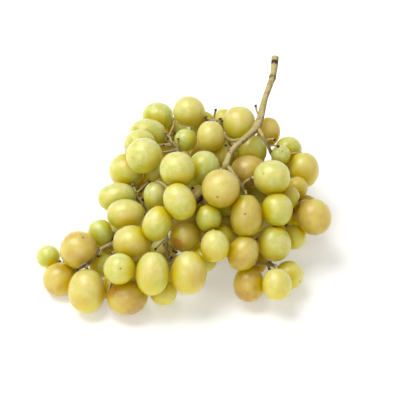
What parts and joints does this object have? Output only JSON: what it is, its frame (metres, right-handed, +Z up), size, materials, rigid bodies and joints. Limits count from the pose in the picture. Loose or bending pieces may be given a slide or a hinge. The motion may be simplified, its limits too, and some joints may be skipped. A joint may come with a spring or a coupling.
{
  "type": "bunch of grapes",
  "caption": "Bunch of white table grapes lying on its side: a woody main stem with side sprays of round to oval green and amber berries.",
  "frame": {"origin": "centre of the bounding box, on the surface that the bunch rests on", "axes": "+X across the bunch from its tapered tip towards its broad shoulder, +Y towards the cut end of the main stem, +Z up"},
  "size_m": [0.1749, 0.1624, 0.0729],
  "materials": {
    "stem": "dry, pale green-beige bark with brown nodes and cut ends",
    "berries": "translucent yellow-green to amber skin with a soft waxy bloom"
  },
  "bodies": {
    "root": {"main_stem": "stem", "spray_tip": "berries", "spray_tail": "berries", "spray_tail_back": "berries", "spray_front_left": "berries", "spray_front": "berries", "spray_middle": "berries", "spray_left": "berries", "spray_back_left": "berries", "spray_back": "berries", "spray_top": "berries", "spray_back_right": "berries", "spray_right": "berries", "spray_front_right": "berries", "spray_under": "berries", "spray_under_left": "berries"}
  },
  "joints": []
}
